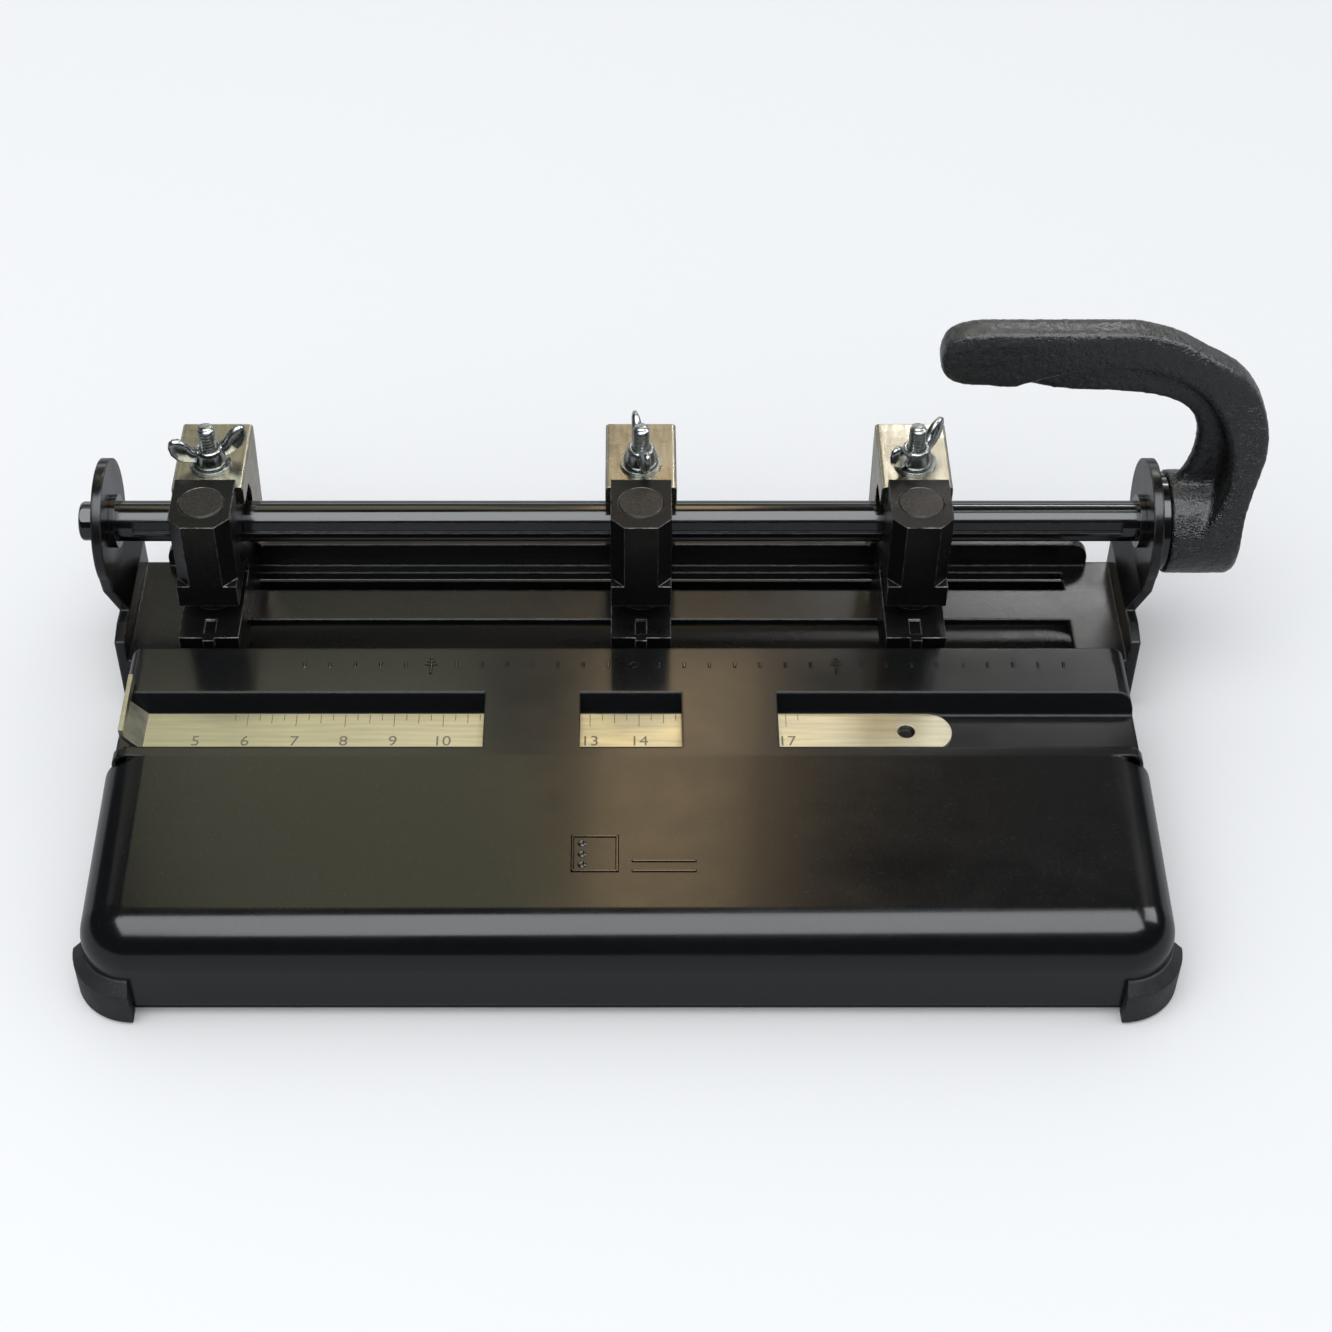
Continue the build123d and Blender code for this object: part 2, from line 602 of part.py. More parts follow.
def make_ruler():
    z0 = channel_floor_z + running_fit
    z1 = z0 + ruler_sheet
    half = ruler_width / 2
    strip = box(ruler_start_x, ruler_end_x - half, -half, half, z0, z1)
    strip += rod_z(half, z0, z1, ruler_end_x - half, 0)
    strip -= rod_z(ruler_hole_radius, z0 - 1, z1 + 1, ruler_hole_x, 0)
    # bent-up paper stop: a ramp up to the deck and a lip that reaches back over it
    ramp = plate_xz([(ruler_start_x + 0.5, z0), (ruler_start_x + 0.5, z1), (ruler_start_x, z1),
                     (stop_x + ruler_sheet, deck_z + 0.8), (stop_x + ruler_sheet, stop_top_z),
                     (stop_x, stop_top_z), (stop_x, deck_z + stop_gap), (ruler_start_x - 0.4, z0)],
                    -half, half)
    lip = box(stop_x, stop_x + ruler_sheet, half - 1, stop_rear_y, deck_z + stop_gap, stop_top_z)
    return strip + ramp + lip


def make_ruler_spring():
    """Leaf under the channel that presses on the ruler through a window."""
    z1 = channel_floor_z - cover_sheet - joint_gap
    leaf = box(spring_x - leaf_half_x, spring_x + leaf_half_x, -leaf_half_y, leaf_half_y, z1 - leaf_sheet, z1)
    leaf += box(spring_x - leaf_pad, spring_x + leaf_pad, -leaf_pad, leaf_pad, z1 - leaf_sheet,
                channel_floor_z - joint_gap)
    return leaf


def make_pan():
    half = base_width / 2 - cover_sheet - pan_gap
    front = base_front_y + cover_sheet + pan_gap
    rear = base_rear_y - 1.0
    radius = corner_radius - cover_sheet - pan_gap

    def block(inset, z0, z1):
        plan = RectangleRounded(2 * (half - inset), rear - front - 2 * inset, radius - inset)
        return Pos(0, (front + rear) / 2, z0) * extrude(plan, z1 - z0)

    pan = block(0, pan_bottom_z, pan_wall_z) - block(pan_sheet, pan_bottom_z + pan_sheet, pan_wall_z + 1)
    return pan


def make_front_feet():
    """Rubber corners that wrap the cover's front corners and tuck under it."""
    outer = corner_radius + foot_wall
    inner = corner_radius + joint_gap
    tuck_z = cover_bottom_z - joint_gap
    profile = make_face(Polyline(
        (inner - foot_tab, 0, tuck_z), (inner, 0, tuck_z), (inner, 0, foot_top_z), (outer, 0, foot_lip_z),
        (outer, 0, foot_chamfer), (outer - foot_chamfer, 0, 0), (inner - foot_tab, 0, 0), close=True))
    ring = revolve(profile, Axis.Z, 90)
    feet = []
    for side in (-1, 1):
        start = 180 if side < 0 else 270
        foot = Rot(0, 0, start) * ring
        feet.append(Pos(side * (base_width / 2 - corner_radius), base_front_y + corner_radius, 0) * foot)
    return Compound(children=feet)


def make_rear_feet():
    """Rubber shoes pushed up over the lower edge of the end plates."""
    feet = []
    for side in (-1, 1):
        shoe = box(skirt_x - shoe_wall, skirt_x + end_sheet + shoe_wall, base_rear_y - shoe_length,
                   base_rear_y + shoe_wall, 0, shoe_top_z)
        shoe = fillet(shoe.edges().filter_by(Axis.Z), shoe_wall - 0.5)
        shoe -= box(skirt_x - joint_gap, skirt_x + end_sheet + joint_gap, toe_y, base_rear_y + joint_gap,
                    skirt_bottom_z - joint_gap, shoe_top_z + 1)
        if side < 0:
            shoe = mirror(shoe, about=Plane.YZ)
        feet.append(shoe)
    return Compound(children=feet)


# ======================= small fasteners =======================

def make_cover_screws():
    screws = []
    for x in post_xs:
        shank = rod_z(screw_radius - screw_clearance, plate_bottom_z - 1, deck_z - 4.5, x, post_y)
        head = rod_z(screw_head_radius, plate_bottom_z - screw_head, plate_bottom_z - joint_gap, x, post_y)
        screws.append(shank + head)
    return Compound(children=screws)


def make_end_bolt():
    x0 = shaft_end_left + joint_gap + end_washer_thickness + joint_gap
    head = Rot(0, 90, 0) * extrude(RegularPolygon(bolt_across_flats / 2, 6, major_radius=False), bolt_head)
    head = Pos(-x0 - bolt_head, shaft_y, shaft_z) * head
    dome = rod_x(bolt_across_flats / 2 + 0.35, -x0 - bolt_head, -x0, shaft_y, shaft_z)
    dome = fillet(dome.edges().filter_by(GeomType.CIRCLE).sort_by(Axis.X)[0], bolt_rounding)
    head &= dome
    shank = rod_x(bolt_radius - joint_gap, -x0 - 0.5, -x0 + bolt_length, shaft_y, shaft_z)
    return head + shank


def make_end_washer():
    x0 = shaft_end_left + joint_gap
    ring = tube_x(end_washer_radius, bolt_radius + 0.1, x0, x0 + end_washer_thickness, shaft_y, shaft_z)
    return mirror(ring, about=Plane.YZ)


def make_thrust_ring():
    x0 = eye_x + end_sheet + slide_gap
    return tube_x(thrust_radius, shaft_radius + running_fit, x0, hub_start_x - slide_gap, shaft_y, shaft_z)


def make_cross_pin():
    return rod_z(cross_pin_radius - joint_gap, shaft_z - hub_radius + 0.4, shaft_z + cross_pin_top,
                 cross_pin_x, shaft_y)


nodes = {
    "base_cover": make_cover(),
    "punch_frame": make_frame(),
    "cover_screws": make_cover_screws(),
    "front_feet": make_front_feet(),
    "rear_feet": make_rear_feet(),
    "chip_pan": make_pan(),
    "gauge_ruler": make_ruler(),
    "ruler_spring": make_ruler_spring(),
    "drive_shaft": make_shaft(),
    "left_bush": make_bush(-1),
    "right_bush": make_bush(1),
    "end_bolt": make_end_bolt(),
    "end_washer": make_end_washer(),
    "thrust_ring": make_thrust_ring(),
    "lever_handle": make_handle(),
    "handle_pin": make_cross_pin(),
    "return_spring": make_spring(),
}
for side, head_x in head_xs.items():
    nodes[side + "_head_body"] = make_head(head_x)
    nodes[side + "_punch_pin"] = make_pin(head_x)
    nodes[side + "_drive_cam"] = make_cam(head_x)
    nodes[side + "_cam_key"] = make_cam_key(head_x)
    nodes[side + "_die_bush"] = make_die(head_x)
    nodes[side + "_clamp_bracket"] = make_bracket(head_x)
    nodes[side + "_clamp_stud"] = make_stud(head_x)
    nodes[side + "_clamp_washer"] = make_washer(head_x)
    nodes[side + "_wing_nut"] = make_wing_nut(head_x, wing_angles[side])

# the origin goes to the middle of the whole punch, on the surface it stands on
boxes = [shape.bounding_box() for shape in nodes.values()]
middle_x = (min(b.min.X for b in boxes) + max(b.max.X for b in boxes)) / 2
middle_y = (min(b.min.Y for b in boxes) + max(b.max.Y for b in boxes)) / 2
to_origin = Pos(-middle_x, -middle_y, 0)
print("origin at", round(middle_x, 4), round(middle_y, 4))

for name, shape in nodes.items():
    save(to_origin * shape, name)
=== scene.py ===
"""Looks for a three-hole paper punch: enamelled base, sliding heads, plated clamps, cast lever.

Sizes are in millimetres from the middle of the base cover on the desk, and at() turns them
into the frame's metres.
"""
import math

import bmesh
import bpy
from mathutils import Matrix, Vector, noise


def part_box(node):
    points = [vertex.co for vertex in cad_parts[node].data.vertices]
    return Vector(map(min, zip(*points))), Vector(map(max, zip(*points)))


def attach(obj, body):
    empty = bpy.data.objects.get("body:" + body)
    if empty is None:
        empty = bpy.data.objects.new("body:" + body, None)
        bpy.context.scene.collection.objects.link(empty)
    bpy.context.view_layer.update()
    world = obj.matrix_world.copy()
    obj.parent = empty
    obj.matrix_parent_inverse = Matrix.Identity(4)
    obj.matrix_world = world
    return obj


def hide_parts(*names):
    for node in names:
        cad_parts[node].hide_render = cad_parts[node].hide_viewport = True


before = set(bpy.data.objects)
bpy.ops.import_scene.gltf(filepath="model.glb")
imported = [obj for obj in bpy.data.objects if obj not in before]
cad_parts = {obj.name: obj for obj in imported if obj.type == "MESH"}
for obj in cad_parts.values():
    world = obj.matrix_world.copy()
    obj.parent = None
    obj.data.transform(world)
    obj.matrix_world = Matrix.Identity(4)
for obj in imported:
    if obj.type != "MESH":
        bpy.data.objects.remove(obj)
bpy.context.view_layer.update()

MM = 0.001
COVER_FRONT = -69.5         # the cover's front face, ahead of the middle
SHAFT_Z = 46.0              # the drive shaft's axis above the desk
SIDES = ("left", "centre", "right")

cover_low, cover_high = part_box("base_cover")
MIDDLE_X = (cover_low.x + cover_high.x) / 2
MIDDLE_Y = cover_low.y - COVER_FRONT * MM
DECK_Z = cover_high.z / MM


def at(x, y, z):
    """A place on the punch, in the frame's metres."""
    return Vector((MIDDLE_X + x * MM, MIDDLE_Y + y * MM, z * MM))


# ======================= shader groups =======================

def new_group(name, inputs, outputs):
    """An empty shader group with named sockets, and its two ends."""
    group = bpy.data.node_groups.new(name, "ShaderNodeTree")
    for label, kind, value in inputs:
        socket = group.interface.new_socket(name=label, in_out="INPUT", socket_type="NodeSocket" + kind)
        socket.default_value = value
    for label, kind in outputs:
        group.interface.new_socket(name=label, in_out="OUTPUT", socket_type="NodeSocket" + kind)
    given = group.nodes.new("NodeGroupInput").outputs
    out = group.nodes.new("NodeGroupOutput").inputs
    return group, given, out


def feed(tree, socket, source):
    """Link a socket to another one, or set its value."""
    if isinstance(source, bpy.types.NodeSocket):
        tree.links.new(source, socket)
    else:
        socket.default_value = source


def maths(tree, operation, a, b=0.0, clamp=False):
    """One arithmetic step on two values or sockets."""
    node = tree.nodes.new("ShaderNodeMath")
    node.operation = operation
    node.use_clamp = clamp
    feed(tree, node.inputs[0], a)
    feed(tree, node.inputs[1], b)
    return node.outputs[0]


def remap(tree, value, low, high, to_low, to_high):
    """Stretch a value from one range to another, and hold it there."""
    node = tree.nodes.new("ShaderNodeMapRange")
    for socket, source in zip(node.inputs, (value, low, high, to_low, to_high)):
        feed(tree, socket, source)
    return node.outputs[0]


def blend_colours(tree, share, first, second):
    """The first colour, or the second one where share is 1."""
    node = tree.nodes.new("ShaderNodeMix")
    node.data_type = "RGBA"
    factor, first_colour, second_colour = (node.inputs[i] for i in (0, 6, 7))
    feed(tree, factor, share)
    feed(tree, first_colour, first)
    feed(tree, second_colour, second)
    colour_out = 2
    return node.outputs[colour_out]


def speckle(tree, scale, detail=2.0, stretch=None):
    """Noise on the piece's own coordinates; stretch makes it longer along an axis."""
    where = tree.nodes.new("ShaderNodeTexCoord").outputs["Object"]
    if stretch is not None:
        longer = tree.nodes.new("ShaderNodeVectorMath")
        longer.operation = "MULTIPLY"
        feed(tree, longer.inputs[0], where)
        feed(tree, longer.inputs[1], stretch)
        where = longer.outputs[0]
    node = tree.nodes.new("ShaderNodeTexNoise")
    feed(tree, node.inputs["Vector"], where)
    feed(tree, node.inputs["Scale"], scale)
    feed(tree, node.inputs["Detail"], detail)
    return node.outputs["Fac"]


COARSE_GRAIN = 0.18         # scale of the slow ripple under the grain
HOLLOW_RANGE = (0.35, 0.6)


def make_grain():
    """Fine surface grain: a height, and a mask of its hollows."""
    group, given, out = new_group(
        "surface_grain",
        [("Scale", "Float", 900.0), ("Stretch", "Vector", (1, 1, 1)), ("Ripple", "Float", 0.3)],
        [("Height", "Float"), ("Hollows", "Float")])
    fine = speckle(group, given["Scale"], 3.0, given["Stretch"])
    coarse = speckle(group, maths(group, "MULTIPLY", given["Scale"], COARSE_GRAIN), 2.0,
                     given["Stretch"])
    height = maths(group, "ADD", fine, maths(group, "MULTIPLY", coarse, given["Ripple"]))
    group.links.new(height, out["Height"])
    group.links.new(remap(group, fine, *HOLLOW_RANGE, 1.0, 0.0), out["Hollows"])
    return group


TURN_RANGE = (0.03, 0.16)   # how far a rounded edge turns away before it counts as worn
BREAK_RANGE = (0.35, 0.65)
EDGE_SAMPLES = 6


def make_edges():
    """Softened edges: the rounded normal, and a broken-up mask along the edges."""
    group, given, out = new_group(
        "soft_edges",
        [("Radius", "Float", 0.0004), ("Wear", "Float", 1.0), ("Break Up", "Float", 400.0)],
        [("Mask", "Float"), ("Normal", "Vector")])
    bevel = group.nodes.new("ShaderNodeBevel")
    bevel.samples = EDGE_SAMPLES
    group.links.new(given["Radius"], bevel.inputs["Radius"])
    facing = group.nodes.new("ShaderNodeVectorMath")
    facing.operation = "DOT_PRODUCT"
    group.links.new(bevel.outputs[0], facing.inputs[0])
    group.links.new(group.nodes.new("ShaderNodeNewGeometry").outputs["Normal"], facing.inputs[1])
    turned = maths(group, "SUBTRACT", 1.0, facing.outputs["Value"])
    broken = remap(group, speckle(group, given["Break Up"], 4.0), *BREAK_RANGE, 0.0, 1.0)
    mask = maths(group, "MULTIPLY", remap(group, turned, *TURN_RANGE, 0.0, 1.0), broken)
    group.links.new(maths(group, "MULTIPLY", mask, given["Wear"], clamp=True), out["Mask"])
    group.links.new(bevel.outputs[0], out["Normal"])
    return group


WIPE_STRETCH = (1.0, 2.2, 1.0)
PRINT_SCALE = 9.0           # finger marks are this much finer than the wiping
WIPE_SHARE = 0.75
GLOSS_RANGE = (0.38, 0.62)
FLECK_SCALE = 2600.0
FLECK_RANGE = (0.62, 0.74)


def make_handling():
    """Uneven gloss from wiping and handling, and light dust on what faces up."""
    group, given, out = new_group(
        "handling_marks",
        [("Gloss", "Float", 0.15), ("Dull", "Float", 0.3), ("Scale", "Float", 25.0),
         ("Dust", "Float", 0.1)],
        [("Roughness", "Float"), ("Dust", "Float")])
    smear = speckle(group, given["Scale"], 4.0, WIPE_STRETCH)
    prints = speckle(group, maths(group, "MULTIPLY", given["Scale"], PRINT_SCALE), 3.0)
    mixed = maths(group, "ADD", maths(group, "MULTIPLY", smear, WIPE_SHARE),
                  maths(group, "MULTIPLY", prints, 1.0 - WIPE_SHARE))
    group.links.new(remap(group, mixed, *GLOSS_RANGE, given["Gloss"], given["Dull"]), out["Roughness"])
    up = group.nodes.new("ShaderNodeSeparateXYZ")
    group.links.new(group.nodes.new("ShaderNodeNewGeometry").outputs["Normal"], up.inputs[0])
    flecks = remap(group, speckle(group, FLECK_SCALE, 1.0), *FLECK_RANGE, 0.0, 1.0)
    settled = maths(group, "MULTIPLY", flecks, remap(group, up.outputs["Z"], 0.5, 1.0, 0.0, 1.0))
    group.links.new(maths(group, "MULTIPLY", settled, given["Dust"]), out["Dust"])
    return group


GRAIN = make_grain()
EDGES = make_edges()
HANDLING = make_handling()


def place(tree, group, **values):
    """Put a shared group in a material; Break_Up stands for the socket Break Up."""
    node = tree.nodes.new("ShaderNodeGroup")
    node.node_tree = group
    for label, value in values.items():
        feed(tree, node.inputs[label.replace("_", " ")], value)
    return node.outputs


DUST_COLOUR = (0.32, 0.30, 0.27, 1)


def finish_material(name, colour, hollow, bare, gloss, dull, metallic=0.0, grain=900.0, ripple=0.3,
                    stretch=(1, 1, 1), relief=0.0004, edge=0.0004, wear=0.5, break_up=400.0,
                    dust=0.1, smear=25.0, specular=0.5, coat=0.0, coat_roughness=0.1,
                    bare_metallic=0.0):
    """A finish: a colour, its colour in the grain's hollows, and its colour along worn edges.

    gloss and dull are the least and the most roughness.  relief and edge are in metres; grain,
    smear and break_up are noise scales, in repeats a metre.
    """
    material = bpy.data.materials.new(name)
    material.use_nodes = True
    tree = material.node_tree
    shader = tree.nodes["Principled BSDF"]
    grained = place(tree, GRAIN, Scale=grain, Stretch=stretch, Ripple=ripple)
    edges = place(tree, EDGES, Radius=edge, Wear=wear, Break_Up=break_up)
    handled = place(tree, HANDLING, Gloss=gloss, Dull=dull, Scale=smear, Dust=dust)
    paint = blend_colours(tree, grained["Hollows"], (*colour, 1), (*hollow, 1))
    worn = blend_colours(tree, edges["Mask"], paint, (*bare, 1))
    dusty = blend_colours(tree, handled["Dust"], worn, DUST_COLOUR)
    feed(tree, shader.inputs["Base Color"], dusty)
    feed(tree, shader.inputs["Roughness"], handled["Roughness"])
    if bare_metallic != metallic:
        metal = remap(tree, edges["Mask"], 0.0, 1.0, metallic, bare_metallic)
        feed(tree, shader.inputs["Metallic"], metal)
    else:
        shader.inputs["Metallic"].default_value = metallic
    shader.inputs["Specular IOR Level"].default_value = specular
    shader.inputs["Coat Weight"].default_value = coat
    shader.inputs["Coat Roughness"].default_value = coat_roughness
    bump = tree.nodes.new("ShaderNodeBump")
    bump.inputs["Strength"].default_value = 1.0
    bump.inputs["Distance"].default_value = relief
    feed(tree, bump.inputs["Height"], grained["Height"])
    feed(tree, bump.inputs["Normal"], edges["Normal"])
    feed(tree, shader.inputs["Normal"], bump.outputs[0])
    return material


cover_enamel = finish_material(
    "cover_enamel", (0.0040, 0.0045, 0.0050), (0.0035, 0.0038, 0.0042), (0.02, 0.02, 0.02),
    0.15, 0.22, grain=700, ripple=0.9, relief=0.000004, edge=0.0009, wear=0.25, dust=0.05,
    smear=14, specular=0.42, coat=0.15, coat_roughness=0.08)
frame_enamel = finish_material(
    "frame_enamel", (0.0050, 0.0052, 0.0055), (0.004, 0.004, 0.0045), (0.10, 0.10, 0.10),
    0.18, 0.28, grain=1100, ripple=0.6, relief=0.00001, edge=0.0010, wear=0.6, dust=0.08, smear=18,
    break_up=260)
pan_enamel = finish_material(
    "pan_enamel", (0.006, 0.006, 0.0065), (0.005, 0.005, 0.0055), (0.08, 0.08, 0.08),
    0.24, 0.36, grain=900, relief=0.00001, edge=0.0005, wear=0.5, dust=0.1, smear=20)
shaft_enamel = finish_material(
    "shaft_enamel", (0.0045, 0.0045, 0.005), (0.0035, 0.0035, 0.004), (0.14, 0.14, 0.14),
    0.10, 0.18, grain=800, stretch=(0.15, 1, 1), relief=0.000008, edge=0.0003, wear=0.6, dust=0.05,
    smear=30, coat=0.5, coat_roughness=0.07)
head_oxide = finish_material(
    "head_oxide", (0.0045, 0.0045, 0.005), (0.0025, 0.0025, 0.003), (0.42, 0.42, 0.40),
    0.24, 0.40, grain=1500, ripple=0.5, relief=0.00003, edge=0.00045, wear=0.8, break_up=420,
    dust=0.03, smear=60, specular=0.22, bare_metallic=1.0)
pin_oxide = finish_material(
    "pin_oxide", (0.036, 0.032, 0.029), (0.020, 0.018, 0.017), (0.40, 0.38, 0.35),
    0.34, 0.5, metallic=0.55, grain=1300, relief=0.00003, edge=0.0003, wear=0.9, break_up=500,
    dust=0.12, smear=80, bare_metallic=1.0)
zinc_ruler = finish_material(
    "zinc_ruler", (0.60, 0.585, 0.46), (0.50, 0.485, 0.38), (0.82, 0.81, 0.72),
    0.30, 0.42, metallic=1.0, grain=500, stretch=(0.08, 1.6, 1), relief=0.000010, edge=0.00025,
    wear=0.5, dust=0.1, smear=35)
zinc_clamp = finish_material(
    "zinc_clamp", (0.44, 0.41, 0.33), (0.35, 0.325, 0.26), (0.90, 0.89, 0.84),
    0.20, 0.34, metallic=1.0, grain=600, stretch=(1.4, 0.2, 1), relief=0.000010, edge=0.0004,
    wear=0.8, dust=0.08, smear=45)
bright_zinc = finish_material(
    "bright_zinc", (0.44, 0.46, 0.45), (0.32, 0.34, 0.33), (0.80, 0.81, 0.80),
    0.18, 0.34, metallic=1.0, grain=1400, ripple=0.8, relief=0.00002, edge=0.0003, wear=0.8,
    dust=0.05, smear=90)
spring_wire = finish_material(
    "spring_wire", (0.36, 0.37, 0.39), (0.26, 0.27, 0.29), (0.6, 0.6, 0.6),
    0.25, 0.4, metallic=1.0, grain=1200, relief=0.00001, edge=0.0001, wear=0.4)
moulded_rubber = finish_material(
    "moulded_rubber", (0.014, 0.0145, 0.016), (0.008, 0.008, 0.009), (0.05, 0.05, 0.053),
    0.42, 0.60, grain=1600, ripple=0.4, relief=0.00005, edge=0.0008, wear=0.7, break_up=300,
    dust=0.2, smear=50, specular=0.5)
cast_paint = finish_material(
    "cast_paint", (0.0035, 0.0038, 0.0045), (0.0015, 0.0015, 0.002), (0.05, 0.05, 0.05),
    0.20, 0.32, grain=1900, ripple=1.3, relief=0.0005, edge=0.0006, wear=0.2, break_up=500,
    dust=0.03, smear=70, specular=0.8, coat=0.35, coat_roughness=0.2)
mark_ink = finish_material(
    "mark_ink", (0.20, 0.185, 0.13), (0.13, 0.12, 0.08), (0.3, 0.27, 0.2),
    0.5, 0.7, metallic=0.4, grain=1500, relief=0.00001, edge=0.0001, wear=0.2)
deck_relief = finish_material(
    "deck_relief", (0.003, 0.003, 0.003), (0.002, 0.002, 0.002), (0.05, 0.05, 0.05),
    0.08, 0.16, grain=1500, relief=0.00001, edge=0.0001, wear=0.6, break_up=600, coat=0.5,
    coat_roughness=0.05)

NODE_FINISH = {
    "base_cover": cover_enamel, "punch_frame": frame_enamel, "cover_screws": bright_zinc,
    "front_feet": moulded_rubber, "rear_feet": moulded_rubber, "chip_pan": pan_enamel,
    "gauge_ruler": zinc_ruler, "ruler_spring": spring_wire, "drive_shaft": shaft_enamel,
    "left_bush": shaft_enamel, "right_bush": shaft_enamel, "end_bolt": shaft_enamel,
    "end_washer": shaft_enamel, "thrust_ring": shaft_enamel, "lever_handle": cast_paint,
    "handle_pin": spring_wire, "return_spring": spring_wire}
HEAD_FINISH = {
    "head_body": head_oxide, "punch_pin": pin_oxide, "drive_cam": pin_oxide, "cam_key": pin_oxide,
    "die_bush": pin_oxide, "clamp_bracket": zinc_clamp, "clamp_stud": bright_zinc,
    "clamp_washer": bright_zinc, "wing_nut": bright_zinc}


def paint(piece, material):
    piece.data.materials.clear()
    piece.data.materials.append(material)


for node, material in NODE_FINISH.items():
    paint(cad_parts[node], material)
for side in SIDES:
    for part, material in HEAD_FINISH.items():
        paint(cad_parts[side + "_" + part], material)


# ======================= new pieces =======================

def add_piece(name, mesh_maker, material, body, smooth=True):
    """A mesh built by mesh_maker(bm), riding on a body."""
    mesh = bpy.data.meshes.new(name)
    bm = bmesh.new()
    mesh_maker(bm)
    bmesh.ops.recalc_face_normals(bm, faces=bm.faces)
    bm.to_mesh(mesh)
    bm.free()
    piece = bpy.data.objects.new(name, mesh)
    bpy.context.scene.collection.objects.link(piece)
    for polygon in mesh.polygons:
        polygon.use_smooth = smooth
    paint(piece, material)
    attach(piece, body)
    return piece


def baked(piece):
    """Apply the piece's modifiers to its own mesh."""
    depsgraph = bpy.context.evaluated_depsgraph_get()
    mesh = bpy.data.meshes.new_from_object(piece.evaluated_get(depsgraph), depsgraph=depsgraph)
    piece.modifiers.clear()
    piece.data = mesh


def round_place(radius, turn, z):
    """A place at a radius from an upright axis; turn counts whole turns."""
    angle = 2 * math.pi * turn
    return Vector((radius * math.cos(angle), radius * math.sin(angle), z)) * MM


def turned_profile(bm, rings, centre, segments=40):
    """A solid turned about Z from (radius, height) pairs; a radius of 0 closes an end."""
    loops = []
    for radius, z in rings:
        if radius <= 0:
            loops.append([bm.verts.new(centre + Vector((0, 0, z * MM)))])
            continue
        loops.append([bm.verts.new(centre + round_place(radius, i / segments, z))
                      for i in range(segments)])
    for low, high in zip(loops, loops[1:]):
        for i in range(segments):
            j = (i + 1) % segments
            corners = [low[i % len(low)], low[j % len(low)], high[j % len(high)], high[i % len(high)]]
            unique = list(dict.fromkeys(corners))
            if len(unique) > 2:
                bm.faces.new(unique)


def join_loops(bm, first, second):
    """Four-sided faces between two closed loops of vertices."""
    count = len(first)
    for i in range(count):
        j = (i + 1) % count
        bm.faces.new((first[i], first[j], second[j], second[i]))


# ---- clamp studs, with a rolled thread ----

STUD_RADIUS = 2.32
THREAD_DEPTH = 0.34
THREAD_PITCH = 1.0
PITCH_STEPS = 8             # rings of vertices to one turn of the thread
STUD_POINT = 0.6            # height of the chamfer at the stud's end
POINT_SLOPE = 0.8


def thread_stud(bm, centre, low, high):
    """A threaded rod between two heights about centre: one crest winds round it."""
    segments = 32
    steps = int((high - low) / THREAD_PITCH * PITCH_STEPS)
    loops = []
    for step in range(steps + 1):
        z = low + (high - low) * step / steps
        loop = []
        for i in range(segments):
            turn = i / segments
            phase = (z / THREAD_PITCH - turn) % 1.0
            crest = abs(phase * 2 - 1)
            radius = STUD_RADIUS - THREAD_DEPTH * (1 - crest)
            radius -= max(0.0, z - (high - STUD_POINT)) * POINT_SLOPE
            loop.append(bm.verts.new(centre + round_place(radius, turn, z)))
        loops.append(loop)
    for one, two in zip(loops, loops[1:]):
        join_loops(bm, one, two)
    for loop in (loops[0], loops[-1]):
        bm.faces.new(loop)


# ---- wing nuts ----

NUT_BORE = STUD_RADIUS + 0.06
# the collar from its foot to its top: radius, and height above the foot
COLLAR = [(NUT_BORE, 0.0), (4.2, 0.0), (4.65, 0.35), (4.55, 1.2), (3.9, 3.4), (3.55, 4.5),
          (3.2, 4.8), (NUT_BORE, 4.8)]
# one ear's outline: distance from the nut's axis, and height above its foot
EAR_ROOT = 2.6
EAR_OUTLINE = [(EAR_ROOT, 0.6), (4.8, 1.0), (7.0, 1.7), (8.9, 3.0), (10.2, 5.0), (10.6, 7.1),
               (10.2, 8.9), (9.1, 9.6), (7.7, 9.4), (6.3, 8.4), (5.1, 6.9), (4.1, 5.4), (EAR_ROOT, 4.7)]
EAR_MIDDLE = (7.4, 5.2)
EAR_REACH = 8.0
EAR_THICK = 1.6             # half the thickness of an ear at its root
EAR_THINNING = 0.75         # how much of that is gone at its tip
EAR_RIM = 0.45              # the rim's thickness, as a share of the face's
EAR_FACE = 0.72             # size of the raised face, as a share of the outline


def wing_nut(bm, centre, turn, foot):
    """A cast wing nut: a conical collar with a bore, and two ears that rise outwards."""
    rings = [(radius, foot + z) for radius, z in COLLAR]
    turned_profile(bm, rings + rings[:1], centre)
    spin = Matrix.Rotation(math.radians(turn), 3, "Z")
    base = centre + Vector((0, 0, foot * MM))
    for side in (-1, 1):
        middle = Vector((side * EAR_MIDDLE[0], 0, EAR_MIDDLE[1]))
        rims = []
        for face in (-1, 1):
            rim = []
            raised = []
            for px, pz in EAR_OUTLINE:
                thick = EAR_THICK - EAR_THINNING * (px - EAR_ROOT) / EAR_REACH
                rim.append(Vector((side * px, face * thick * EAR_RIM, pz)))
                point = middle + (Vector((side * px, 0, pz)) - middle) * EAR_FACE
                point.y = face * thick
                raised.append(point)
            rim_verts = [bm.verts.new(base + spin @ point * MM) for point in rim]
            raised_verts = [bm.verts.new(base + spin @ point * MM) for point in raised]
            join_loops(bm, rim_verts, raised_verts)
            bm.faces.new(raised_verts)
            rims.append(rim_verts)
        join_loops(bm, *rims)


